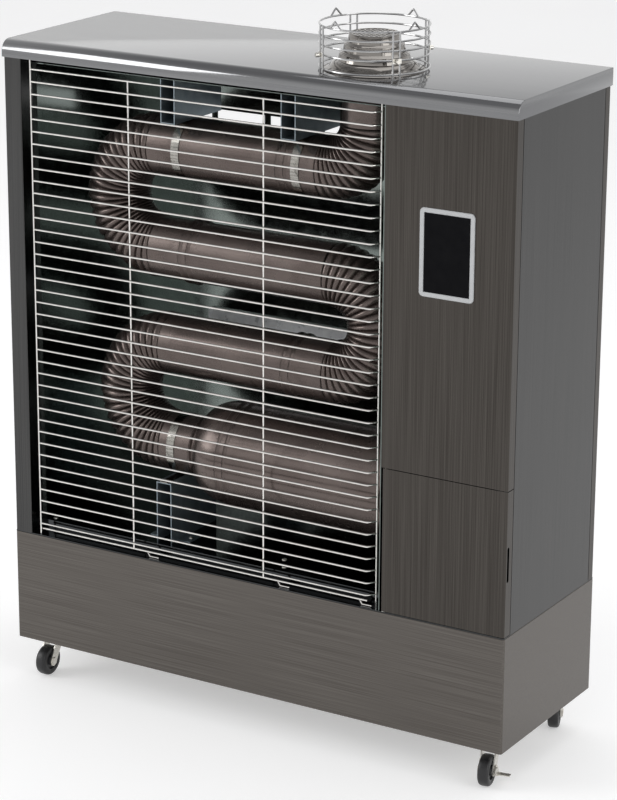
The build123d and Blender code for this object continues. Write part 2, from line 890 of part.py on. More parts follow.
# Drum stand: the same channel on the floor under the drum's neck, with a screwed foot each side
stand_height = drum_z - strap_reach - floor_z
with BuildPart() as drum_stand:
    with BuildSketch(Plane.XY.offset(floor_z)):
        with Locations((stand_x, bracket_y)):
            Rectangle(stand_width, bracket_depth, align=(Align.CENTER, Align.MIN))
    extrude(amount=stand_height)
    with BuildSketch(Plane.XY.offset(floor_z)):
        with Locations((stand_x, bracket_y)):
            Rectangle(
                stand_width - 2 * bracket_metal,
                bracket_depth - bracket_metal,
                align=(Align.CENTER, Align.MIN),
            )
    extrude(amount=stand_height - bracket_metal, mode=Mode.SUBTRACT)
    with BuildSketch(Plane.XY.offset(floor_z)):
        with Locations([(stand_x + side * foot_pitch / 2, foot_y) for side in (-1, 1)]):
            Rectangle(foot_pitch - stand_width, foot_depth)
    extrude(amount=bracket_metal)
keep(drum_stand, "drum_stand")

# Straps round the tubes, each with a tab that is screwed to its bracket
straps = ((hanger_left_x, upper_z, 1), (hanger_right_x, upper_z, 1), (stand_x, drum_z, -1))
with BuildPart() as tube_straps:
    for x, z, side in straps:
        with BuildSketch(Plane.YZ.offset(x - strap_width / 2)):
            with Locations((tube_y, z)):
                RegularPolygon(strap_inner + strap_metal, strap_sides, rotation=180 / strap_sides)
                RegularPolygon(
                    strap_inner, strap_sides, rotation=180 / strap_sides, mode=Mode.SUBTRACT
                )
            with Locations(((bracket_y + tube_y) / 2, z + side * (strap_reach - strap_metal / 2))):
                Rectangle(tube_y - bracket_y, strap_metal * 0.95)
        extrude(amount=strap_width)
keep(tube_straps, "tube_straps")

# Flue collar: spun in steps that narrow upwards, over the outlet pipe's open end
flue_place = Pos(flue_x, tube_y, cap_z)
collar_inside = (
    (0.0, collar_bore),
    (collar_bore_height, collar_bore),
    (collar_bore_height + sheet, mesh_radius),
    (mesh_height, mesh_radius),
)
with BuildPart() as flue_collar:
    add(
        faceted_tube(
            [ring(Plane(flue_place * Pos(0, 0, height)), r, tube_sides) for height, r in collar_steps],
            [ring(Plane(flue_place * Pos(0, 0, height)), r, tube_sides) for height, r in collar_inside],
        )
    )
keep(flue_collar, "flue_collar")

# Mesh disc seated in the collar's mouth
with BuildPart() as flue_mesh:
    with BuildSketch(Plane.XY.offset(cap_z + mesh_height - mesh_bar)):
        with Locations((flue_x, tube_y)):
            RegularPolygon(mesh_radius, tube_sides)
            with GridLocations(mesh_cell, mesh_cell, mesh_count, mesh_count):
                Rectangle(mesh_cell - mesh_bar, mesh_cell - mesh_bar, mode=Mode.SUBTRACT)
    extrude(amount=mesh_bar)
keep(flue_mesh, "flue_mesh")

# Wire guard round the collar: rings, double posts that stand on the cap, and V-shaped ears
ring_turn = guard_post_angle + 180 / ring_steps
with BuildPart() as guard_ring:
    with BuildSketch(Plane.XY):
        RegularPolygon(guard_radius + guard_wire / 2, ring_steps, rotation=ring_turn)
        RegularPolygon(
            guard_radius - guard_wire / 2, ring_steps, rotation=ring_turn, mode=Mode.SUBTRACT
        )
    extrude(amount=guard_wire / 2, both=True)
guard_wires = [flue_place * Pos(0, 0, height) * guard_ring.part for height in guard_rings]
post_radius = (guard_radius + guard_wire / 2) * cos(pi / ring_steps) + guard_wire / 2
top_ring = guard_rings[-1]
for i in range(guard_posts):
    turn = flue_place * Rot(0, 0, guard_post_angle + i * 360 / guard_posts)
    for side in (-1, 1):
        y = side * post_spread / 2
        guard_wires.append(turn * rod((post_radius, y, 0), (post_radius, y, top_ring)))
    lean = turn * Rot(0, 0, ear_lead)
    peak = (guard_radius, 0, top_ring + guard_ear)
    for side in (-1, 1):
        spread = radians(side * guard_ear_angle)
        base = (guard_radius * cos(spread), guard_radius * sin(spread), top_ring)
        guard_wires.append(lean * rod(base, peak))
with BuildPart() as flue_guard:
    for piece in guard_wires:
        add(piece)
keep(flue_guard, "flue_guard")

# Burner tube: through the partition into the drum, with the square plate that bolts it there
with BuildPart() as burner_tube:
    with BuildSketch(Plane.YZ.offset(column_left)):
        with Locations((tube_y, drum_z)):
            Rectangle(burner_plate, burner_plate)
    extrude(amount=burner_plate_metal)
    with BuildSketch(Plane.YZ.offset(column_left)):
        with Locations((tube_y, drum_z)):
            RegularPolygon(burner_tube_radius, tube_sides)
    extrude(amount=-burner_reach)
    with BuildSketch(Plane.YZ.offset(housing_x)):
        with Locations((tube_y, drum_z)):
            RegularPolygon(burner_throat, tube_sides)
    extrude(amount=-burner_reach - burner_plate_metal, mode=Mode.SUBTRACT)
keep(burner_tube, "burner_tube")

# Burner fan housing: a round drum open to the burner tube, with an air intake at its back
with BuildPart() as burner_housing:
    with BuildSketch(Plane.YZ.offset(housing_x)):
        with Locations((tube_y, fan_z)):
            RegularPolygon(fan_housing_radius, tube_sides)
    extrude(amount=fan_housing_width)
    with BuildSketch(Plane.YZ.offset(housing_x + fan_housing_wall)):
        with Locations((tube_y, fan_z)):
            RegularPolygon(fan_housing_radius - fan_housing_wall, tube_sides)
    extrude(amount=fan_housing_width - 2 * fan_housing_wall, mode=Mode.SUBTRACT)
    with BuildSketch(Plane.YZ.offset(housing_x)):
        with Locations((tube_y, drum_z)):
            RegularPolygon(burner_throat, tube_sides)
    extrude(amount=fan_housing_wall, mode=Mode.SUBTRACT)
    with BuildSketch(Plane.YZ.offset(motor_x)):
        with Locations((tube_y, fan_z)):
            RegularPolygon(shaft_radius + shaft_clearance, small_sides)
    extrude(amount=-fan_housing_wall, mode=Mode.SUBTRACT)
    with BuildSketch(Plane.XZ.offset(-tube_y)):
        with Locations((housing_x + fan_housing_width / 2, fan_z)):
            Rectangle(fan_width, fan_width)
    extrude(amount=-fan_housing_radius, mode=Mode.SUBTRACT)
keep(burner_housing, "burner_housing")

# Fan wheel with its shaft, which runs in the motor
fan_x = housing_x + (fan_housing_width - fan_width) / 2
with BuildPart() as burner_fan:
    with BuildSketch(Plane.YZ.offset(fan_x)):
        with Locations((tube_y, fan_z)):
            with PolarLocations(fan_radius - fan_blade / 2, fan_blades):
                Rectangle(fan_blade, fan_blade_metal)
    extrude(amount=fan_width)
    with BuildSketch(Plane.YZ.offset(fan_x + fan_width / 2)):
        with Locations((tube_y, fan_z)):
            RegularPolygon(fan_radius, strap_sides)
    extrude(amount=fan_blade_metal)
    with BuildSketch(Plane.YZ.offset(fan_x)):
        with Locations((tube_y, fan_z)):
            RegularPolygon(shaft_radius, tube_sides)
    extrude(amount=motor_x + shaft_seat - fan_x)
keep(burner_fan, "burner_fan")

# Motor, with the bore its shaft runs in
with BuildPart() as burner_motor:
    with BuildSketch(Plane.YZ.offset(motor_x)):
        with Locations((tube_y, fan_z)):
            RegularPolygon(motor_radius, tube_sides)
    extrude(amount=motor_length)
    with BuildSketch(Plane.YZ.offset(motor_x)):
        with Locations((tube_y, fan_z)):
            Circle(shaft_radius + pin_play)
    extrude(amount=shaft_seat + shaft_clearance, mode=Mode.SUBTRACT)
keep(burner_motor, "burner_motor")

# Fuel pump on the motor's far end
with BuildPart() as fuel_pump:
    with BuildSketch(Plane.YZ.offset(pump_x)):
        with Locations((tube_y, fan_z)):
            RectangleRounded(pump_size, pump_size, pump_corner)
    extrude(amount=pump_length)
keep(fuel_pump, "fuel_pump")

# Ignition transformer on the partition above the fan housing
transformer_length, transformer_width, transformer_height = transformer_size
with BuildPart() as ignition_transformer:
    with BuildSketch(Plane.YZ.offset(column_left)):
        with Locations((tube_y, fan_z + fan_housing_radius + transformer_height / 2 + transformer_gap)):
            Rectangle(transformer_width, transformer_height)
    extrude(amount=transformer_length)
    chamfer(ignition_transformer.edges().group_by(Axis.X)[-1], bend)
keep(ignition_transformer, "ignition_transformer")

# Fuel tank in the plinth, with the filler neck that stands up through the deck behind the door
with BuildPart() as fuel_tank:
    with BuildSketch(Plane.XY.offset(tank_z)):
        with Locations(((tank_left + tank_right) / 2, 0)):
            outside = Rectangle(tank_right - tank_left, tank_depth)
        chamfer(outside.vertices(), tank_corner)
    extrude(amount=tank_height)
    with BuildSketch(Plane.XY.offset(tank_z + tank_height)):
        with Locations((neck_x, neck_y)):
            RegularPolygon(neck_radius, tube_sides)
    extrude(amount=neck_top - tank_z - tank_height)
    with BuildSketch(Plane.XY.offset(tank_z + tank_wall)):
        with Locations(((tank_left + tank_right) / 2, 0)):
            inside = Rectangle(tank_right - tank_left - 2 * tank_wall, tank_depth - 2 * tank_wall)
        chamfer(inside.vertices(), tank_corner)
    extrude(amount=tank_height - 2 * tank_wall, mode=Mode.SUBTRACT)
    with BuildSketch(Plane.XY.offset(neck_top)):
        with Locations((neck_x, neck_y)):
            RegularPolygon(neck_bore, tube_sides)
    extrude(amount=tank_z + tank_height - 2 * tank_wall - neck_top, mode=Mode.SUBTRACT)
keep(fuel_tank, "fuel_tank")

# Filler cap: turns a quarter on the neck
with BuildPart() as fuel_cap:
    with BuildSketch(Plane.XY.offset(neck_top - fuel_cap_skirt)):
        with Locations((neck_x, neck_y)):
            RegularPolygon(neck_radius + fuel_cap_play + fuel_cap_wall, tube_sides)
            with PolarLocations(neck_radius + fuel_cap_play + fuel_cap_wall, fuel_cap_grips):
                Rectangle(fuel_cap_wall, fuel_cap_wall)
    extrude(amount=fuel_cap_skirt + thrust_gap + fuel_cap_wall)
    with BuildSketch(Plane.XY.offset(neck_top - fuel_cap_skirt)):
        with Locations((neck_x, neck_y)):
            Circle(neck_radius + fuel_cap_play)
    extrude(amount=fuel_cap_skirt + thrust_gap, mode=Mode.SUBTRACT)
keep(fuel_cap, "fuel_cap")

# Fuel line from the tank up to the pump, with its filter bowl
with BuildPart() as fuel_line:
    with BuildSketch(Plane.XY.offset(tank_z + tank_height)):
        with Locations((line_x, tube_y)):
            RegularPolygon(line_radius, small_sides)
    extrude(amount=fan_z - pump_size / 2 - tank_z - tank_height)
    with BuildSketch(Plane.XY.offset(filter_z)):
        with Locations((line_x, tube_y)):
            RegularPolygon(filter_radius, small_sides)
    extrude(amount=filter_height)
keep(fuel_line, "fuel_line")

# Power inlet: a recessed socket with three pins, set in the back panel
with BuildPart() as power_inlet:
    with BuildSketch(Plane.XZ.offset(-upper_y)):
        with Locations((inlet_x, inlet_z)):
            Rectangle(inlet_width, inlet_height)
    extrude(amount=-inlet_proud)
    with BuildSketch(Plane.XZ.offset(-upper_y)):
        with Locations((inlet_x, inlet_z)):
            Rectangle(inlet_width - 2 * inlet_wall, inlet_height - 2 * inlet_wall)
    extrude(amount=inlet_depth)
    with BuildSketch(Plane.XZ.offset(-upper_y - inlet_proud)):
        with Locations((inlet_x, inlet_z)):
            Rectangle(inlet_width - 4 * inlet_wall, inlet_height - 4 * inlet_wall)
    extrude(amount=inlet_depth + inlet_proud - inlet_wall, mode=Mode.SUBTRACT)
    with BuildSketch(Plane.XZ.offset(inlet_depth - inlet_wall - upper_y)):
        with Locations((inlet_x, inlet_z)):
            with GridLocations(inlet_pin_pitch, 0, 3, 1):
                Rectangle(inlet_pin, 2 * inlet_pin)
    extrude(amount=-(inlet_depth - 2 * inlet_wall))
keep(power_inlet, "power_inlet")

# Caster plates under the plinth, each with its race, kingpin and the pin's head
race_z = caster_height - plate_metal - race_height
with BuildPart() as caster_plate:
    with BuildSketch(Plane.XY.offset(caster_height)):
        Rectangle(plate_size, plate_size)
    extrude(amount=-plate_metal)
    with BuildSketch(Plane.XY.offset(race_z)):
        RegularPolygon(race_radius, small_sides)
    extrude(amount=race_height)
    with BuildSketch(Plane.XY.offset(race_z)):
        RegularPolygon(kingpin_radius, tube_sides)
    extrude(amount=-(fork_metal + 2 * fork_play))
    with BuildSketch(Plane.XY.offset(race_z - fork_metal - 2 * fork_play)):
        RegularPolygon(pin_head_radius, 6)
    extrude(amount=-pin_head)
caster_x = half_width - caster_inset_x
caster_y = half_depth - caster_inset_y
casters = (
    ("front_left", -caster_x, -caster_y, front_left_turn, False),
    ("front_right", caster_x, -caster_y, front_right_turn, True),
    ("rear_left", -caster_x, caster_y, rear_left_turn, True),
    ("rear_right", caster_x, caster_y, rear_right_turn, False),
)
caster_plates = Compound(children=[Pos(x, y, 0) * caster_plate.part for _, x, y, _, _ in casters])
caster_plates.label = "caster_plates"
export_step(caster_plates, "parts/caster_plates.step")

# Caster parts, each drawn about its swivel with the wheel towards -Y, then turned and placed
leg_inner = wheel_width / 2 + fork_gap
leg_outer = leg_inner + fork_metal
crown_z = race_z - fork_play
leg_end = leg_width / 2
leg_chamfer = leg_end * sin(radians(45))
for name, x, y, turn, braked in casters:
    place = Pos(x, y, 0) * Rot(0, 0, turn)
    pedal_room = pedal_metal + 2 * pedal_play if braked else 0
    with BuildPart() as fork:
        with BuildSketch(Plane.XY.offset(crown_z)):
            RegularPolygon(crown_radius, small_sides)
            Rectangle(2 * leg_outer, leg_width)
            Circle(kingpin_radius + axle_play, mode=Mode.SUBTRACT)
        extrude(amount=-fork_metal)
        for side in (-1, 1):
            with BuildSketch(Plane.YZ.offset(side * leg_inner)):
                with BuildLine():
                    Polyline(
                        (leg_end, crown_z),
                        (-leg_end, crown_z),
                        (-caster_trail - leg_end, wheel_radius),
                        (-caster_trail - leg_chamfer, wheel_radius - leg_chamfer),
                        (-caster_trail, wheel_radius - leg_end),
                        (-caster_trail + leg_chamfer, wheel_radius - leg_chamfer),
                        (-caster_trail + leg_end, wheel_radius),
                        close=True,
                    )
                make_face()
            extrude(amount=side * fork_metal)
        with BuildSketch(Plane.YZ.offset(-leg_outer)):
            with Locations((-caster_trail, wheel_radius)):
                RegularPolygon(axle_radius, tube_sides)
        extrude(amount=2 * leg_outer + pedal_room)
        for end_x, direction in ((-leg_outer, -1), (leg_outer + pedal_room, 1)):
            with BuildSketch(Plane.YZ.offset(end_x)):
                with Locations((-caster_trail, wheel_radius)):
                    RegularPolygon(pin_head_radius, 6)
            extrude(amount=direction * pin_head)
    fork_part = place * fork.part
    fork_part.label = f"caster_fork_{name}"
    export_step(fork_part, f"parts/caster_fork_{name}.step")

    with BuildPart() as tyre:
        add(
            faceted_tube(
                rings_along_x(tyre_sections, -caster_trail, wheel_radius, wheel_sides),
                rings_along_x(tyre_seat, -caster_trail, wheel_radius, hub_sides),
            )
        )
    tyre_part = place * tyre.part
    tyre_part.label = f"tyre_{name}"
    export_step(tyre_part, f"parts/tyre_{name}.step")

    with BuildPart() as hub:
        with BuildSketch(Plane.YZ.offset(-wheel_width / 2)):
            with Locations((-caster_trail, wheel_radius)):
                RegularPolygon(wheel_radius - tyre_wall, hub_sides)
                Circle(axle_radius + axle_play, mode=Mode.SUBTRACT)
        extrude(amount=wheel_width)
    hub_part = place * hub.part
    hub_part.label = f"hub_{name}"
    export_step(hub_part, f"parts/hub_{name}.step")

    if braked:
        foot_z = wheel_radius - pedal_drop
        foot_far = pedal_length - caster_trail
        with BuildPart() as pedal:
            with BuildSketch(Plane.YZ.offset(leg_outer + pedal_play)):
                with BuildLine():
                    Polyline(
                        (foot_far, foot_z),
                        (foot_far - leg_end, foot_z + pedal_metal * 3),
                        (-caster_trail + leg_end, wheel_radius + leg_chamfer),
                        (-caster_trail, wheel_radius + leg_end),
                        (-caster_trail - leg_end, wheel_radius),
                        (-caster_trail, wheel_radius - leg_end),
                        (foot_far - leg_end, foot_z - pedal_metal),
                        (foot_far, foot_z - pedal_metal),
                        close=True,
                    )
                make_face()
                with Locations((-caster_trail, wheel_radius)):
                    Circle(axle_radius + axle_play, mode=Mode.SUBTRACT)
            extrude(amount=pedal_metal)
            with BuildSketch(Plane.XY.offset(foot_z)):
                with Locations((leg_outer + pedal_play, foot_far)):
                    Rectangle(pedal_foot, leg_end, align=(Align.MIN, Align.MAX))
            extrude(amount=-pedal_metal)
        pedal_part = place * pedal.part
        pedal_part.label = f"brake_pedal_{name}"
        export_step(pedal_part, f"parts/brake_pedal_{name}.step")

# Screw heads on the chamber floor and the stand's feet, and the guard's thumb screws
with BuildPart() as screw:
    with BuildSketch():
        RegularPolygon(screw_radius, small_sides)
    extrude(amount=screw_height)
with BuildPart() as thumb_screw:
    with BuildSketch(Plane.YZ):
        Rectangle(post_spread + guard_wire, 2 * thumb_radius)
    extrude(amount=sheet)
    with BuildSketch(Plane.YZ.offset(sheet)):
        RegularPolygon(thumb_radius, small_sides)
    extrude(amount=thumb_length)
screws = [Pos(x, y, floor_z) * screw.part for x, y in floor_screws]
screws += [
    Pos(stand_x + side * (foot_pitch / 2 + foot_screw), foot_y, floor_z + bracket_metal) * screw.part
    for side in (-1, 1)
]
screws += [
    flue_place
    * Rot(0, 0, guard_post_angle + i * 360 / guard_posts)
    * Pos(post_radius + guard_wire / 2, 0, guard_rings[1])
    * thumb_screw.part
    for i in range(guard_posts)
]
fasteners = Compound(children=screws)
fasteners.label = "fasteners"
export_step(fasteners, "parts/fasteners.step")
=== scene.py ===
from math import cos, pi, radians, sin, sqrt

import bpy
from mathutils import Matrix, Vector


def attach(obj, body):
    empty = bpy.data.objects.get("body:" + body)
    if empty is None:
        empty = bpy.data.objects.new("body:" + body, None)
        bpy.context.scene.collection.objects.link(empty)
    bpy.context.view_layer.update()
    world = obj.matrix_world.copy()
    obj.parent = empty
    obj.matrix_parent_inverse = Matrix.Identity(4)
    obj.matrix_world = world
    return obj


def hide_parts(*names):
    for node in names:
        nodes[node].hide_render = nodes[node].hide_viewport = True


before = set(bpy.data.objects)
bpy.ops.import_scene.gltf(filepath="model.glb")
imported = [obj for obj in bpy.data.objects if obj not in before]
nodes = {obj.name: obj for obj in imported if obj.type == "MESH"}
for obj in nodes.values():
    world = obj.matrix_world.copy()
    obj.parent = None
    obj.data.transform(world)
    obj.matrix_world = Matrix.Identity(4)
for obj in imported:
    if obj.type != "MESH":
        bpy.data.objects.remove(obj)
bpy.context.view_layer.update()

# Sizes shared with the CAD model, in metres
BODY_Z, ROOF_Z, CAP_Z = 0.2552, 1.038, 1.065
CAP_X, CAP_Y = 0.4515, 0.1535
CAP_ROUND = 0.019
SHEET = 0.0012
TUBE_Y, TUBE_R = -0.048, 0.048
DRUM_R, DRUM_Z = 0.083, 0.423
DOME_START, DOME_LENGTH, DRUM_END = -0.136, 0.054, 0.2338
UPPER_Z, MIDDLE_Z, LOWER_Z = 0.907, 0.742, 0.587
UPPER_LEFT_X, RIGHT_BEND_X, LOWER_LEFT_X = -0.222, 0.095, -0.205
FLUE_X, ELBOW_R = 0.157, 0.076
FLOOR_Z = 0.274
BRACKET_METAL = 0.0016
WIRE_R = 0.0015
WHEEL_R, TRAIL = 0.025, 0.020
CASTERS = {
    "front_left": (-0.410, -0.106, 0.0),
    "front_right": (0.410, -0.106, 10.0),
    "rear_left": (-0.410, 0.106, 160.0),
    "rear_right": (0.410, 0.106, 200.0),
}


# Materials

NOISE_DETAIL = 3.0
NOISE_LOW, NOISE_HIGH = 0.3, 0.7
RELIEF = 0.0004


def grain(tree, scale):
    """Noise on object coordinates, stretched by a scale for each axis."""
    coord = tree.nodes.new("ShaderNodeTexCoord")
    mapping = tree.nodes.new("ShaderNodeMapping")
    mapping.inputs["Scale"].default_value = scale
    noise = tree.nodes.new("ShaderNodeTexNoise")
    noise.inputs["Scale"].default_value = 1.0
    noise.inputs["Detail"].default_value = NOISE_DETAIL
    tree.links.new(coord.outputs["Object"], mapping.inputs["Vector"])
    tree.links.new(mapping.outputs["Vector"], noise.inputs["Vector"])
    return noise


def ramp(tree, source, low, high):
    """Colour that runs from low to high as the noise rises."""
    node = tree.nodes.new("ShaderNodeValToRGB")
    node.color_ramp.elements[0].position = NOISE_LOW
    node.color_ramp.elements[0].color = (*low, 1.0)
    node.color_ramp.elements[1].position = NOISE_HIGH
    node.color_ramp.elements[1].color = (*high, 1.0)
    tree.links.new(source, node.inputs["Fac"])
    return node


def level(tree, source, low, high):
    """Number that runs from low to high as the noise rises."""
    node = tree.nodes.new("ShaderNodeMapRange")
    node.inputs["From Min"].default_value = NOISE_LOW
    node.inputs["From Max"].default_value = NOISE_HIGH
    node.inputs["To Min"].default_value = low
    node.inputs["To Max"].default_value = high
    tree.links.new(source, node.inputs["Value"])
    return node


def surface(name, low, high, metallic, rough, scale, bump=0.0, specular=0.5):
    """A material whose colour, roughness and relief follow one stretched noise."""
    mat = bpy.data.materials.new(name)
    mat.use_nodes = True
    tree = mat.node_tree
    shader = tree.nodes["Principled BSDF"]
    noise = grain(tree, scale)
    colour = ramp(tree, noise.outputs["Fac"], low, high)
    tree.links.new(colour.outputs["Color"], shader.inputs["Base Color"])
    roughness = level(tree, noise.outputs["Fac"], rough[0], rough[1])
    tree.links.new(roughness.outputs["Result"], shader.inputs["Roughness"])
    shader.inputs["Metallic"].default_value = metallic
    shader.inputs["Specular IOR Level"].default_value = specular
    if bump:
        relief = tree.nodes.new("ShaderNodeBump")
        relief.inputs["Strength"].default_value = bump
        relief.inputs["Distance"].default_value = RELIEF
        tree.links.new(noise.outputs["Fac"], relief.inputs["Height"])
        tree.links.new(relief.outputs["Normal"], shader.inputs["Normal"])
    return mat


# Noise scales for each axis: brushed, even, and those of single materials
ALONG_X = (4.0, 750.0, 750.0)
ALONG_Z = (750.0, 750.0, 4.0)
ALL_WAYS = (60.0, 60.0, 60.0)
SPANGLE = (90.0, 90.0, 90.0)
MOTTLE = (18.0, 18.0, 18.0)
SPUN = (30.0, 30.0, 500.0)
MOULDED = (220.0, 220.0, 220.0)
RUBBER = (260.0, 260.0, 260.0)
HUB_MOULDED = (200.0, 200.0, 200.0)

STAINLESS_X = surface(
    "stainless_grain_x", (0.090, 0.081, 0.074), (0.146, 0.135, 0.123),
    metallic=1.0, rough=(0.12, 0.20), scale=ALONG_X, bump=0.12,
)
STAINLESS_Z = surface(
    "stainless_grain_z", (0.046, 0.041, 0.037), (0.080, 0.073, 0.066),
    metallic=1.0, rough=(0.14, 0.23), scale=ALONG_Z, bump=0.12,
)
STAINLESS_SIDE = surface(
    "stainless_side", (0.054, 0.054, 0.054), (0.077, 0.076, 0.075),
    metallic=1.0, rough=(0.17, 0.26), scale=ALONG_Z, bump=0.10,
)
POLISHED = surface(
    "polished_cap", (0.215, 0.217, 0.222), (0.245, 0.247, 0.252),
    metallic=1.0, rough=(0.10, 0.14), scale=ALONG_X, bump=0.02,
)
MIRROR = surface(
    "mirror_reflector", (0.165, 0.190, 0.178), (0.205, 0.235, 0.220),
    metallic=1.0, rough=(0.12, 0.18), scale=ALL_WAYS,
)
# Painted shade: a near-black mirror colour for the deck and the floor reflector. It stands for the dark
# band at the foot of the opening, which comes from the dark surroundings they reflect, not from the
# sheet's own tone
PAINTED_SHADE_SHEET = surface(
    "painted_shade_sheet", (0.045, 0.048, 0.050), (0.062, 0.066, 0.069),
    metallic=1.0, rough=(0.06, 0.11), scale=ALONG_X,
)
# Painted reflection: the wall rail is zinc-coated steel. Its near-white, mostly diffuse colour stands for
# the bright surroundings that its mirror-like face reflects
GALVANISED_PAINTED_REFLECTION = surface(
    "galvanised_painted_reflection", (0.76, 0.78, 0.80), (0.92, 0.93, 0.94),
    metallic=0.25, rough=(0.25, 0.40), scale=SPANGLE, bump=0.02,
)
BRACKET = surface(
    "bracket_blue_grey", (0.22, 0.27, 0.30), (0.30, 0.35, 0.38),
    metallic=0.85, rough=(0.32, 0.44), scale=ALL_WAYS, bump=0.02,
)
HEAT_TUBE = surface(
    "heat_tube", (0.116, 0.093, 0.085), (0.146, 0.119, 0.109),
    metallic=0.80, rough=(0.22, 0.30), scale=MOTTLE,
)
BRIGHT = surface(
    "bright_wire", (0.72, 0.70, 0.67), (0.82, 0.80, 0.77),
    metallic=1.0, rough=(0.12, 0.22), scale=ALL_WAYS,
)
GUARD = surface(
    "guard_wire", (0.42, 0.42, 0.42), (0.52, 0.52, 0.52),
    metallic=1.0, rough=(0.10, 0.18), scale=ALL_WAYS,
)
ZINC = surface(
    "zinc_plate", (0.62, 0.60, 0.55), (0.76, 0.74, 0.69),
    metallic=1.0, rough=(0.22, 0.36), scale=ALL_WAYS, bump=0.02,
)
STRAP = surface(
    "strap_steel", (0.30, 0.29, 0.27), (0.38, 0.37, 0.34),
    metallic=1.0, rough=(0.10, 0.18), scale=ALL_WAYS, bump=0.02,
)
COLLAR = surface(
    "spun_collar", (0.20, 0.188, 0.175), (0.27, 0.255, 0.238),
    metallic=1.0, rough=(0.08, 0.15), scale=SPUN, bump=0.02,
)
BEZEL = surface(
    "bezel_plastic", (0.50, 0.51, 0.52), (0.54, 0.55, 0.56),
    metallic=0.0, rough=(0.30, 0.38), scale=ALL_WAYS, bump=0.01,
)
GLASS = surface(
    "display_glass", (0.003, 0.003, 0.004), (0.005, 0.005, 0.006),
    metallic=0.0, rough=(0.05, 0.08), scale=ALL_WAYS, specular=0.05,
)
BOARD = surface(
    "circuit_board", (0.02, 0.09, 0.04), (0.03, 0.12, 0.05),
    metallic=0.0, rough=(0.4, 0.5), scale=ALL_WAYS,
)
BLACK = surface(
    "black_plastic", (0.012, 0.012, 0.012), (0.022, 0.022, 0.022),
    metallic=0.0, rough=(0.40, 0.52), scale=MOULDED, bump=0.05,
)
BURNER = surface(
    "burner_metal", (0.16, 0.17, 0.18), (0.24, 0.25, 0.26),
    metallic=0.9, rough=(0.40, 0.52), scale=ALL_WAYS, bump=0.05,
)
TANK = surface(
    "tank_paint", (0.05, 0.055, 0.06), (0.07, 0.075, 0.08),
    metallic=0.2, rough=(0.36, 0.46), scale=ALL_WAYS, bump=0.03,
)
TYRE = surface(
    "tyre_rubber", (0.008, 0.008, 0.009), (0.016, 0.016, 0.017),
    metallic=0.0, rough=(0.36, 0.48), scale=RUBBER, bump=0.08,
)
HUB = surface(
    "hub_plastic", (0.020, 0.020, 0.022), (0.034, 0.034, 0.036),
    metallic=0.0, rough=(0.30, 0.40), scale=HUB_MOULDED, bump=0.03,
)

FINISH = {
    "base_plinth": STAINLESS_X,
    # The deck's near-black colour is painted shade
    "base_deck": PAINTED_SHADE_SHEET,
    "left_post": STAINLESS_SIDE,
    "left_side_panel": STAINLESS_SIDE,
    "right_side_panel": STAINLESS_SIDE,
    "back_panel": STAINLESS_Z,
    "control_panel": STAINLESS_Z,
    "service_door": STAINLESS_Z,
    "display_bezel": BEZEL,
    "display_glass": GLASS,
    "control_board": BOARD,
    "door_fittings": ZINC,
    "partition": MIRROR,
    "side_reflector": MIRROR,
    "back_reflector": MIRROR,
    # The floor reflector takes the painted-shade sheet in place of the mirror of the other reflectors
    "floor_reflector": PAINTED_SHADE_SHEET,
    # The wall rail's brightness is painted reflection on zinc-coated steel
    "wall_rail": GALVANISED_PAINTED_REFLECTION,
    "tube_hangers": BRACKET,
    "drum_stand": BRACKET,
    "power_inlet": BLACK,
    "fuel_cap": BLACK,
    "ignition_transformer": BLACK,
    "burner_tube": BURNER,
    "burner_housing": BURNER,
    "burner_motor": BURNER,
    "burner_fan": BURNER,
    "fuel_pump": BURNER,
    "fuel_line": BURNER,
    "fuel_tank": TANK,
    "caster_plates": ZINC,
    "brake_pedal_front_right": ZINC,
    "brake_pedal_rear_left": ZINC,
}
for corner in CASTERS:
    FINISH["caster_fork_" + corner] = ZINC
for name, mat in FINISH.items():
    for material_slot in nodes[name].material_slots:
        material_slot.material = mat


# Mesh helpers

def make(name, verts, faces, mat, sharp=30.0):
    """A mesh object, smooth except across edges sharper than the angle."""
    mesh = bpy.data.meshes.new(name)
    mesh.from_pydata([tuple(v) for v in verts], [], faces)
    mesh.validate()
    mesh.update()
    mesh.materials.append(mat)
    mesh.polygons.foreach_set("use_smooth", [True] * len(mesh.polygons))
    mesh.set_sharp_from_angle(angle=radians(sharp))
    obj = bpy.data.objects.new(name, mesh)
    bpy.context.scene.collection.objects.link(obj)
    return obj


def lathe_data(profile, sides, place, closed=False):
    """Vertices and faces of a profile of (along, radius) turned about the local Z of a placing matrix."""
    verts, faces = [], []
    for along, radius in profile:
        for k in range(sides):
            t = 2 * pi * k / sides
            verts.append(place @ Vector((radius * cos(t), radius * sin(t), along)))
    rows = len(profile)
    for i in range(rows if closed else rows - 1):
        a, b = i * sides, ((i + 1) % rows) * sides
        for k in range(sides):
            j = (k + 1) % sides
            faces.append((a + k, a + j, b + j, b + k))
    return verts, faces


def join_data(parts):
    """One vertex and face list from several."""
    verts, faces = [], []
    for v, f in parts:
        base = len(verts)
        verts += v
        faces += [tuple(i + base for i in face) for face in f]
    return verts, faces


def along_x(y, z):
    """Placing matrix whose local Z runs along +X through a point."""
    return Matrix.Translation((0, y, z)) @ Matrix.Rotation(pi / 2, 4, "Y")


LEAST_MITRE, STRAIGHT = 0.5, 1e-6


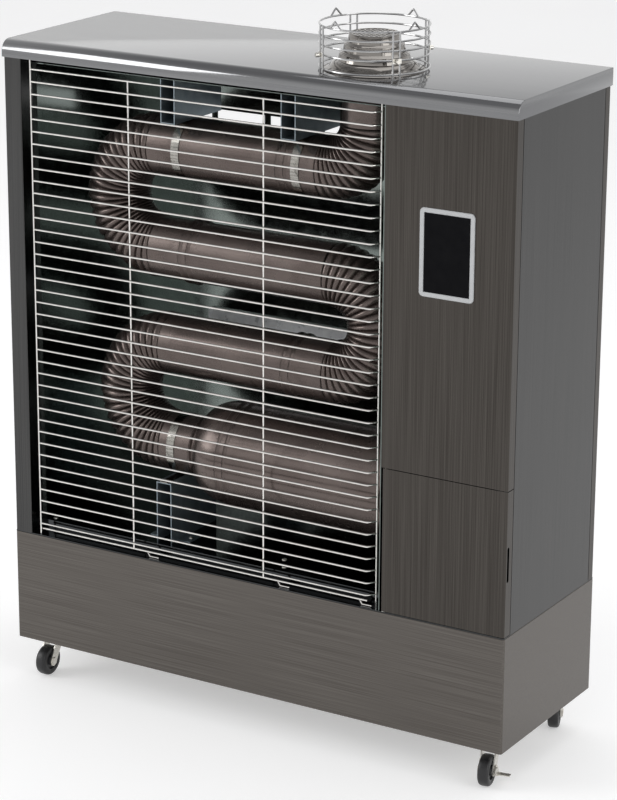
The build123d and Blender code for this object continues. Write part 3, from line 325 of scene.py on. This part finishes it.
def wire_data(points, radius, sides, cyclic=False):
    """A round wire through points, mitred at each."""
    pts = [Vector(p) for p in points]
    count = len(pts)
    verts, faces = [], []
    last_side = None
    for i, p in enumerate(pts):
        before = pts[i - 1] if i or cyclic else None
        after = pts[(i + 1) % count] if i < count - 1 or cyclic else None
        d1 = (p - before).normalized() if before is not None else None
        d2 = (after - p).normalized() if after is not None else None
        d = (d1 + d2).normalized() if d1 and d2 else (d1 or d2)
        stretch = 1 / max(LEAST_MITRE, d.dot(d1)) if d1 and d2 else 1.0
        if last_side is None:
            last_side = d.orthogonal().normalized()
        side = (last_side - d * last_side.dot(d)).normalized()
        last_side = side
        up = d.cross(side)
        bend_dir = (d2 - d1) if d1 and d2 else Vector((0, 0, 0))
        bend_dir = bend_dir - d * bend_dir.dot(d)
        bend_dir = bend_dir.normalized() if bend_dir.length > STRAIGHT else None
        for k in range(sides):
            t = 2 * pi * k / sides
            offset = side * cos(t) * radius + up * sin(t) * radius
            if bend_dir is not None:
                offset += bend_dir * offset.dot(bend_dir) * (stretch - 1)
            verts.append(p + offset)
    for i in range(count if cyclic else count - 1):
        a, b = i * sides, ((i + 1) % count) * sides
        for k in range(sides):
            j = (k + 1) % sides
            faces.append((a + k, a + j, b + j, b + k))
    if not cyclic:
        faces.append(tuple(range(sides))[::-1])
        faces.append(tuple((count - 1) * sides + k for k in range(sides)))
    return verts, faces


def box_data(low, high):
    """A plain box between two corners."""
    x0, y0, z0 = low
    x1, y1, z1 = high
    verts = [Vector(c) for c in (
        (x0, y0, z0), (x1, y0, z0), (x1, y1, z0), (x0, y1, z0),
        (x0, y0, z1), (x1, y0, z1), (x1, y1, z1), (x0, y1, z1),
    )]
    faces = [(0, 3, 2, 1), (4, 5, 6, 7), (0, 1, 5, 4), (1, 2, 6, 5), (2, 3, 7, 6), (3, 0, 4, 7)]
    return verts, faces


def dress(obj, body, slot_name, *replaced):
    """Set a finished piece on its body, in place of the named CAD nodes."""
    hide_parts(*replaced)
    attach(obj, body)


def lathe(name, profile, sides, place, mat, body, slot_name, node, closed=False):
    """A finished piece turned from a profile."""
    verts, faces = lathe_data(profile, sides, place, closed)
    dress(make(name, verts, faces, mat), body, slot_name, node)


def assemble(name, parts, mat, slot_name, node):
    """A finished piece of the cabinet, made of several forms."""
    verts, faces = join_data(parts)
    dress(make(name, verts, faces, mat), "cabinet", slot_name, node)


# Straight heat tubes, with rolled beads in pairs
BEAD_HEIGHT, BEAD_HALF_WIDTH, BEAD_STEPS = 0.0032, 0.0035, 6
TUBE_SIDES = 96
TUBES = (
    ("lower_tube", LOWER_LEFT_X, RIGHT_BEND_X, LOWER_Z, (0.026, 0.040)),
    ("middle_tube", UPPER_LEFT_X, RIGHT_BEND_X, MIDDLE_Z, (-0.161, -0.147)),
    ("upper_tube", UPPER_LEFT_X, FLUE_X - ELBOW_R, UPPER_Z, (0.016, 0.030)),
)


def bead(x):
    """Profile points of one rounded bead about x on the tube's radius."""
    points = []
    for i in range(BEAD_STEPS + 1):
        share = 2 * i / BEAD_STEPS - 1
        rise = BEAD_HEIGHT * cos(pi / 2 * share) ** 2
        points.append((x + BEAD_HALF_WIDTH * share, TUBE_R + rise))
    return points


for name, start, end, z, beads in TUBES:
    profile = [(start, TUBE_R - SHEET), (start + SHEET, TUBE_R)]
    for x in beads:
        profile += bead(x)
    profile += [(end - SHEET, TUBE_R), (end, TUBE_R - SHEET)]
    place = along_x(TUBE_Y, z)
    lathe(name + "_shell", profile, TUBE_SIDES, place, HEAT_TUBE, "cabinet", "heat_tube_steel", name)


# Combustion drum with its dome, neck and beads
NECK_BEAD, NECK_END = -0.145, -0.137
DRUM_BEADS = (-0.073, -0.059)
DOME_STEPS = 12
DRUM_SIDES = 128
EDGE = 0.001
profile = [(LOWER_LEFT_X, TUBE_R - EDGE), (LOWER_LEFT_X + EDGE, TUBE_R)]
profile += bead(NECK_BEAD)
profile += [(NECK_END, TUBE_R)]
for i in range(DOME_STEPS + 1):
    t = radians(90 * i / DOME_STEPS)
    profile.append((DOME_START + DOME_LENGTH * (1 - cos(t)), TUBE_R + (DRUM_R - TUBE_R) * sin(t)))
for x in DRUM_BEADS:
    profile += [(bead_x, r + DRUM_R - TUBE_R) for bead_x, r in bead(x)]
profile += [(DRUM_END, DRUM_R)]
place = along_x(TUBE_Y, DRUM_Z)
lathe(
    "drum_shell", profile, DRUM_SIDES, place, HEAT_TUBE,
    "cabinet", "heat_tube_steel", "combustion_drum",
)


# Pleated bends with round ridges and sharp valleys, a little higher towards the bend's inside
VALLEY, RIDGE, INNER_RIDGE = -0.0032, 0.0048, 0.0006
RIDGE_POWER = 0.7
PLEAT_STEPS, BEND_SIDES = 10, 72
PLEAT_SHARP = 50.0
BENDS = (
    ("lower_left_bend", LOWER_LEFT_X, (DRUM_Z + LOWER_Z) / 2, (LOWER_Z - DRUM_Z) / 2, 90, 180, 24),
    ("right_bend", RIGHT_BEND_X, (LOWER_Z + MIDDLE_Z) / 2, (MIDDLE_Z - LOWER_Z) / 2, -90, 180, 24),
    ("upper_left_bend", UPPER_LEFT_X, (MIDDLE_Z + UPPER_Z) / 2, (UPPER_Z - MIDDLE_Z) / 2, 90, 180, 24),
    ("outlet_elbow", FLUE_X - ELBOW_R, UPPER_Z + ELBOW_R, ELBOW_R, -90, 90, 13),
)


def pleat_height(phase, turn):
    """Relief of one pleat at a share of its length and an angle round the tube."""
    ridge = abs(sin(pi * phase)) ** RIDGE_POWER
    inside = 0.5 - 0.5 * cos(turn)
    return VALLEY + ridge * (RIDGE + INNER_RIDGE * inside)


def pleated(name, x, z, radius, start, sweep, pleats):
    """A pleated bend about a centre, from a start angle through a sweep in degrees."""
    verts, faces = [], []
    rows = pleats * PLEAT_STEPS
    for i in range(rows + 1):
        a = radians(start + sweep * i / rows)
        phase = (i % PLEAT_STEPS) / PLEAT_STEPS
        out = Vector((cos(a), 0, sin(a)))
        centre = Vector((x, TUBE_Y, z)) + out * radius
        for k in range(BEND_SIDES):
            t = 2 * pi * k / BEND_SIDES
            r = TUBE_R + pleat_height(phase, t)
            verts.append(centre + out * (r * cos(t)) + Vector((0, r * sin(t), 0)))
    for i in range(rows):
        p, q = i * BEND_SIDES, (i + 1) * BEND_SIDES
        for k in range(BEND_SIDES):
            j = (k + 1) % BEND_SIDES
            faces.append((p + k, p + j, q + j, q + k))
    return make(name, verts, faces, HEAT_TUBE, PLEAT_SHARP)


for name, x, z, radius, start, sweep, pleats in BENDS:
    shell = pleated(name + "_shell", x, z, radius, start, sweep, pleats)
    dress(shell, "cabinet", "heat_tube_steel", name)

# Outlet pipe up to the collar
PIPE_SIDES = 72
profile = [(UPPER_Z + ELBOW_R, TUBE_R), (CAP_Z, TUBE_R)]
place = Matrix.Translation((FLUE_X, TUBE_Y, 0))
lathe(
    "outlet_pipe_shell", profile, PIPE_SIDES, place, HEAT_TUBE,
    "cabinet", "heat_tube_steel", "outlet_pipe",
)


# Grille of round wires, with their right ends bent back to an upright
WIRE_Y = -0.146
BACK_WIRE_Y = WIRE_Y + 2 * WIRE_R
WIRE_COUNT, FIRST_WIRE_Z, WIRE_PITCH = 39, 0.2736, 0.0197
LEFT_X, CORNER_X = -0.4025, 0.210
CORNER_LEAD, CORNER_STEPS = 0.003, 4
CORNER_EXIT = (0.0018, 0.0023)
TIP = Vector((0.219, -0.1345, 0))
TIP_RUN = Vector((0.009, 0.0115, 0))
CROSS_WIRES, CROSS_TOP = (-0.221, 0.023), 1.0237
SILL_Z, SILL_END, SILL_R = 0.264, 0.2105, 0.0018
HOOKS = (-0.197, 0.047, 0.194)
HOOK_PATH = ((-0.004, 0.2640), (0.002, 0.2640), (0.007, 0.2567), (0.024, 0.2567))
WIRE_SIDES, HOOK_SIDES = 10, 8
parts = []
for i in range(WIRE_COUNT):
    z = FIRST_WIRE_Z + WIRE_PITCH * i
    a = Vector((CORNER_X - CORNER_LEAD, WIRE_Y, z))
    b = Vector((CORNER_X, WIRE_Y, z))
    c = Vector((CORNER_X + CORNER_EXIT[0], WIRE_Y + CORNER_EXIT[1], z))
    corner = []
    for s in range(CORNER_STEPS + 1):
        t = s / CORNER_STEPS
        corner.append(a.lerp(b, t).lerp(b.lerp(c, t), t))
    path = [(LEFT_X, WIRE_Y, z), *corner, (TIP.x, TIP.y, z)]
    parts.append(wire_data(path, WIRE_R, WIRE_SIDES))
right = TIP + TIP_RUN.normalized() * WIRE_R
for x, y, low, high in (
    (LEFT_X, WIRE_Y, BODY_Z, ROOF_Z),
    (right.x, right.y, BODY_Z, ROOF_Z),
    (CROSS_WIRES[0], BACK_WIRE_Y, SILL_Z, CROSS_TOP),
    (CROSS_WIRES[1], BACK_WIRE_Y, SILL_Z, CROSS_TOP),
):
    parts.append(wire_data([(x, y, low), (x, y, high)], WIRE_R, WIRE_SIDES))
sill = [(LEFT_X, BACK_WIRE_Y, SILL_Z), (SILL_END, BACK_WIRE_Y, SILL_Z)]
parts.append(wire_data(sill, SILL_R, WIRE_SIDES))
for x in HOOKS:
    path = [(x + run, BACK_WIRE_Y, z) for run, z in HOOK_PATH]
    parts.append(wire_data(path, WIRE_R, HOOK_SIDES))
assemble("grille_wires", parts, BRIGHT, "bright_wire", "grille")


# Straps: a band round the tube and a flat tab at its bracket
STRAPS = ((-0.168, UPPER_Z, 1), (0.048, UPPER_Z, 1), (-0.182, DRUM_Z, -1))
STRAP_HALF_WIDTH, STRAP_SIDES = 0.007, 96
STRAP_INNER, STRAP_OUTER = TUBE_R + 0.0002, TUBE_R + 0.0012
TAB_FRONT = -0.114
TAB_REACH, TAB_HALF = TUBE_R + 0.0006, 0.0005
parts = []
for x, z, side in STRAPS:
    near, far = x - STRAP_HALF_WIDTH, x + STRAP_HALF_WIDTH
    band = [(near, STRAP_INNER), (near, STRAP_OUTER), (far, STRAP_OUTER), (far, STRAP_INNER)]
    parts.append(lathe_data(band, STRAP_SIDES, along_x(TUBE_Y, z), closed=True))
    tab_z = z + side * TAB_REACH
    parts.append(box_data((near, TAB_FRONT, tab_z - TAB_HALF), (far, TUBE_Y, tab_z + TAB_HALF)))
assemble("tube_strap_bands", parts, STRAP, "bright_wire", "tube_straps")


# Flue collar: spun steps with rounded edges, as heights and radii in millimetres
COLLAR_STEPS = (
    (0, 77), (1.4, 77.3), (2.6, 75.5), (4.6, 67.5), (7, 65.2), (11, 62.4), (12.8, 59.2),
    (14, 54.6), (19, 53.4), (23.6, 52.6), (25.6, 48.6), (27, 47), (32, 46.2), (37.6, 45.2),
    (39.4, 41.4), (41, 40), (47, 39), (53, 38.2), (54, 37.4), (54, 35.2), (50, 35),
)
COLLAR_SIDES = 96
profile = [(CAP_Z + h / 1000, r / 1000) for h, r in COLLAR_STEPS]
place = Matrix.Translation((FLUE_X, TUBE_Y, 0))
lathe(
    "collar_shell", profile, COLLAR_SIDES, place, COLLAR,
    "cabinet", "polished_stainless", "flue_collar",
)

# Fine mesh in the collar's mouth
MESH_Z, MESH_RADIUS = CAP_Z + 0.0528, 0.035
MESH_PITCH, MESH_HALF_COUNT = 0.0064, 5
MESH_WIRE_R, MESH_SIDES = 0.0006, 6
parts = []
for i in range(-MESH_HALF_COUNT, MESH_HALF_COUNT + 1):
    c = i * MESH_PITCH
    half = sqrt(MESH_RADIUS ** 2 - c ** 2)
    for start, end in (((-half, c), (half, c)), ((c, -half), (c, half))):
        ends = [(FLUE_X + x, TUBE_Y + y, MESH_Z) for x, y in (start, end)]
        parts.append(wire_data(ends, MESH_WIRE_R, MESH_SIDES))
assemble("mouth_mesh", parts, BRIGHT, "bright_wire", "flue_mesh")


# Wire guard: round rings, double posts and V-shaped ears
GUARD_R = 0.082
GUARD_RINGS = (0.005, 0.026, 0.040, 0.054, 0.068)
RING_POINTS, CAD_RING_SIDES = 96, 20
POSTS, POST_ANGLE = 4, -38
POST_HEIGHT, POST_HALF_SPREAD = 0.069, 0.0055
POST_R = (GUARD_R + WIRE_R) * cos(pi / CAD_RING_SIDES) + WIRE_R
EAR_LEAD = 23
EAR = ((-8, 0.068), (-1.6, 0.0775), (0, 0.079), (1.6, 0.0775), (8, 0.068))
GUARD_SIDES = 8


def around(radius, angle, z):
    """A point round the flue's axis."""
    t = radians(angle)
    return Vector((FLUE_X + radius * cos(t), TUBE_Y + radius * sin(t), CAP_Z + z))


parts = []
for z in GUARD_RINGS:
    path = [around(GUARD_R, 360 * k / RING_POINTS, z) for k in range(RING_POINTS)]
    parts.append(wire_data(path, WIRE_R, GUARD_SIDES, True))
for k in range(POSTS):
    angle = POST_ANGLE + 90 * k
    t = radians(angle)
    across = Vector((-sin(t), cos(t), 0))
    for side in (-1, 1):
        foot = around(POST_R, angle, 0) + across * side * POST_HALF_SPREAD
        head = foot + Vector((0, 0, POST_HEIGHT))
        parts.append(wire_data([foot, head], WIRE_R, GUARD_SIDES))
    path = [around(GUARD_R, angle + EAR_LEAD + lead, z) for lead, z in EAR]
    parts.append(wire_data(path, WIRE_R, GUARD_SIDES))
assemble("guard_wires", parts, GUARD, "bright_wire", "flue_guard")


# Screws: domed heads on the floor and feet, and the guard's thumb screws on their clamp plates
SCREW_R, SCREW_HEIGHT = 0.004, 0.0022
SCREW_SIDES, DOME_RINGS = 24, 6
RIM_SHARE, RECESS_HEIGHT, RECESS_RADIUS = 0.35, 0.75, 0.18
CENTRE = 0.00001
FLOOR_SCREWS = ((0.024, -0.082), (0.041, -0.110), (-0.395, -0.115))
FOOT_SCREWS, FOOT_Y = (-0.210, -0.154), -0.080
CLAMP_LOW, CLAMP_HIGH = (0, -0.007, -0.0035), (SHEET, 0.007, 0.0035)
CLAMP_HEIGHT = 0.026
THUMB_PROFILE = (
    (0, 0.0022), (0.0015, 0.0022), (0.0015, 0.0032), (0.002, 0.0035),
    (0.0064, 0.0035), (0.007, 0.003), (0.007, CENTRE),
)
THUMB_SIDES = 20


def screw_head(place):
    """A domed screw head with a round recess."""
    profile = [(0, SCREW_R), (SCREW_HEIGHT * RIM_SHARE, SCREW_R)]
    for i in range(1, DOME_RINGS):
        t = radians(90 * i / DOME_RINGS)
        height = SCREW_HEIGHT * (RIM_SHARE + (1 - RIM_SHARE) * sin(t))
        profile.append((height, SCREW_R * cos(t)))
    recess = SCREW_HEIGHT * RECESS_HEIGHT
    profile += [(recess, SCREW_R * RECESS_RADIUS), (recess, CENTRE)]
    return lathe_data(profile, SCREW_SIDES, place)


parts = []
for x, y in FLOOR_SCREWS:
    parts.append(screw_head(Matrix.Translation((x, y, FLOOR_Z))))
for x in FOOT_SCREWS:
    parts.append(screw_head(Matrix.Translation((x, FOOT_Y, FLOOR_Z + BRACKET_METAL))))
flue = Matrix.Translation((FLUE_X, TUBE_Y, CAP_Z))
for k in range(POSTS):
    turn = flue @ Matrix.Rotation(radians(POST_ANGLE + 90 * k), 4, "Z")
    base = turn @ Matrix.Translation((POST_R + WIRE_R, 0, CLAMP_HEIGHT))
    plate, plate_faces = box_data(CLAMP_LOW, CLAMP_HIGH)
    parts.append(([base @ v for v in plate], plate_faces))
    place = base @ Matrix.Translation((SHEET, 0, 0)) @ Matrix.Rotation(pi / 2, 4, "Y")
    parts.append(lathe_data(THUMB_PROFILE, THUMB_SIDES, place))
assemble("screw_heads", parts, ZINC, "zinc_steel", "fasteners")


# Caster wheels: a tyre with round shoulders on a dished hub, at each caster's place and turn
TYRE_PROFILE = (
    (-0.009, 0.0172), (-0.009, 0.0205), (-0.0084, 0.0225), (-0.0072, 0.0240),
    (-0.0052, 0.0248), (-0.002, 0.0250), (0.002, 0.0250), (0.0052, 0.0248),
    (0.0072, 0.0240), (0.0084, 0.0225), (0.009, 0.0205), (0.009, 0.0172),
)
HUB_PROFILE = (
    (-0.009, 0.0042), (-0.009, 0.0075), (-0.0085, 0.0080), (-0.0058, 0.0086),
    (-0.0054, 0.0135), (-0.0082, 0.0148), (-0.0086, 0.0170), (0.0086, 0.0170),
    (0.0082, 0.0148), (0.0054, 0.0135), (0.0058, 0.0086), (0.0085, 0.0080),
    (0.009, 0.0075), (0.009, 0.0042),
)
TYRE_SIDES, HUB_SIDES = 72, 48
for corner, (x, y, angle) in CASTERS.items():
    turn = Matrix.Translation((x, y, 0)) @ Matrix.Rotation(radians(angle), 4, "Z")
    axle = turn @ Matrix.Translation((0, -TRAIL, WHEEL_R)) @ Matrix.Rotation(pi / 2, 4, "Y")
    body = "wheel_" + corner
    lathe(
        "tyre_tread_" + corner, TYRE_PROFILE, TYRE_SIDES, axle, TYRE,
        body, "tyre_rubber", "tyre_" + corner,
    )
    lathe(
        "hub_disc_" + corner, HUB_PROFILE, HUB_SIDES, axle, HUB,
        body, "hub_plastic", "hub_" + corner, closed=True,
    )


# Cap: one folded lid with a round front edge and slightly eased ends
ROUND_STEPS, EDGE_STEPS = 16, 4
END_EASE = 0.00035
CAP_SHARP = 50.0
outline = [(-CAP_Y, ROOF_Z)]
for i in range(ROUND_STEPS + 1):
    t = radians(180 - 90 * i / ROUND_STEPS)
    y = -CAP_Y + CAP_ROUND + CAP_ROUND * cos(t)
    outline.append((y, CAP_Z - CAP_ROUND + CAP_ROUND * sin(t)))
for i in range(EDGE_STEPS + 1):
    t = radians(90 - 90 * i / EDGE_STEPS)
    outline.append((CAP_Y - SHEET + SHEET * cos(t), CAP_Z - SHEET + SHEET * sin(t)))
outline.append((CAP_Y, ROOF_Z))
sections = (
    (-CAP_X, SHEET), (-CAP_X + END_EASE, END_EASE), (-CAP_X + SHEET, 0.0),
    (CAP_X - SHEET, 0.0), (CAP_X - END_EASE, END_EASE), (CAP_X, SHEET),
)
verts, faces = [], []
for x, inset in sections:
    for y, z in outline:
        drop = inset * (z - ROOF_Z) / (CAP_Z - ROOF_Z)
        verts.append(Vector((x, y * (1 - inset / CAP_Y), z - drop)))
count = len(outline)
for s in range(len(sections) - 1):
    near, far = s * count, (s + 1) * count
    for i in range(count - 1):
        faces.append((near + i, near + i + 1, far + i + 1, far + i))
    faces.append((far - 1, near, far, far + count - 1))
faces.append(tuple(range(count))[::-1])
faces.append(tuple((len(sections) - 1) * count + i for i in range(count)))
lid = make("cap_lid", verts, faces, POLISHED, CAP_SHARP)
dress(lid, "cabinet", "polished_stainless", "top_cover")


# Stage: a pale floor that reads white to the camera and in metal, a soft world and soft lamps
FLOOR_REACH = 12
FLOOR_GRAIN = (2.0, 2.0, 2.0)
FLOOR_LIFT = 0.38
FLOOR_ROUGH, FLOOR_SPECULAR = 0.9, 0.1
SKY = (
    (0.0, (0.98, 0.98, 0.98, 1)),
    (0.75, (0.42, 0.42, 0.43, 1)),
)
SKY_MIDDLE = (0.32, (0.96, 0.96, 0.96, 1))
LAMPS = (
    ("key", (-4.2, -3.2, 2.8), (0, 0, 0.6), 2.6, 92),
    ("fill_right", (3.4, -0.8, 1.8), (0.2, 0, 0.6), 2.0, 22),
    ("top", (0.2, 0.8, 3.4), (0, 0, 0.8), 2.4, 22),
)


def backdrop_share(tree):
    """1 for camera, glossy and transmission rays, 0 for the rest."""
    path = tree.nodes.new("ShaderNodeLightPath")
    total = path.outputs["Is Camera Ray"]
    for kind in ("Is Glossy Ray", "Is Transmission Ray"):
        add = tree.nodes.new("ShaderNodeMath")
        add.operation = "MAXIMUM"
        tree.links.new(total, add.inputs[0])
        tree.links.new(path.outputs[kind], add.inputs[1])
        total = add.outputs["Value"]
    return total


floor_mat = bpy.data.materials.new("floor")
floor_mat.use_nodes = True
floor_tree = floor_mat.node_tree
paper = floor_tree.nodes["Principled BSDF"]
paper_noise = grain(floor_tree, FLOOR_GRAIN)
paper_tone = ramp(floor_tree, paper_noise.outputs["Fac"], (0.80, 0.80, 0.80), (0.82, 0.82, 0.82))
floor_tree.links.new(paper_tone.outputs["Color"], paper.inputs["Base Color"])
paper.inputs["Roughness"].default_value = FLOOR_ROUGH
paper.inputs["Specular IOR Level"].default_value = FLOOR_SPECULAR
lift = floor_tree.nodes.new("ShaderNodeMath")
lift.operation = "MULTIPLY"
lift.inputs[1].default_value = FLOOR_LIFT
floor_tree.links.new(backdrop_share(floor_tree), lift.inputs[0])
floor_tree.links.new(lift.outputs["Value"], paper.inputs["Emission Strength"])
paper.inputs["Emission Color"].default_value = (1, 1, 1, 1)

floor_mesh = bpy.data.meshes.new("floor")
corners = ((-1, -1), (1, -1), (1, 1), (-1, 1))
floor_mesh.from_pydata([(FLOOR_REACH * x, FLOOR_REACH * y, 0) for x, y in corners], [], [(0, 1, 2, 3)])
floor_mesh.materials.append(floor_mat)
floor = bpy.data.objects.new("floor", floor_mesh)
bpy.context.scene.collection.objects.link(floor)

world = bpy.data.worlds.new("studio")
bpy.context.scene.world = world
world.use_nodes = True
world_tree = world.node_tree
back = world_tree.nodes["Background"]
coord = world_tree.nodes.new("ShaderNodeTexCoord")
split = world_tree.nodes.new("ShaderNodeSeparateXYZ")
sky = world_tree.nodes.new("ShaderNodeValToRGB")
world_tree.links.new(coord.outputs["Generated"], split.inputs["Vector"])
world_tree.links.new(split.outputs["Z"], sky.inputs["Fac"])
for element, (position, colour) in zip(sky.color_ramp.elements, SKY):
    element.position = position
    element.color = colour
near_horizon = sky.color_ramp.elements.new(SKY_MIDDLE[0])
near_horizon.color = SKY_MIDDLE[1]
world_tree.links.new(sky.outputs["Color"], back.inputs["Color"])
back.inputs["Strength"].default_value = 1.0

for name, place, aim, size, power in LAMPS:
    data = bpy.data.lights.new(name, "AREA")
    data.shape = "SQUARE"
    data.size = size
    data.energy = power
    lamp = bpy.data.objects.new(name, data)
    lamp.location = place
    lamp.rotation_euler = (Vector(aim) - Vector(place)).to_track_quat("-Z", "Y").to_euler()
    bpy.context.scene.collection.objects.link(lamp)


# Camera at the photograph's viewing angle
CAMERA_PLACE = (2.2398, -3.6844, 1.8691)
SENSOR, LENS = 36.0, 128.945
yaw, pitch, roll = radians(-31.1), radians(-17.47), radians(0.3)
forward = Vector((sin(yaw) * cos(pitch), cos(yaw) * cos(pitch), sin(pitch)))
level_side = Vector((cos(yaw), -sin(yaw), 0))
level_up = level_side.cross(forward)
camera_side = level_side * cos(roll) + level_up * sin(roll)
camera_up = level_up * cos(roll) - level_side * sin(roll)
camera_data = bpy.data.cameras.new("camera")
camera_data.sensor_fit = "VERTICAL"
camera_data.sensor_height = SENSOR
camera_data.lens = LENS
camera = bpy.data.objects.new("camera", camera_data)
attitude = Matrix((camera_side, camera_up, -forward)).transposed().to_4x4()
camera.matrix_world = Matrix.Translation(CAMERA_PLACE) @ attitude
bpy.context.scene.collection.objects.link(camera)
bpy.context.scene.camera = camera
bpy.context.scene.view_settings.view_transform = "Standard"
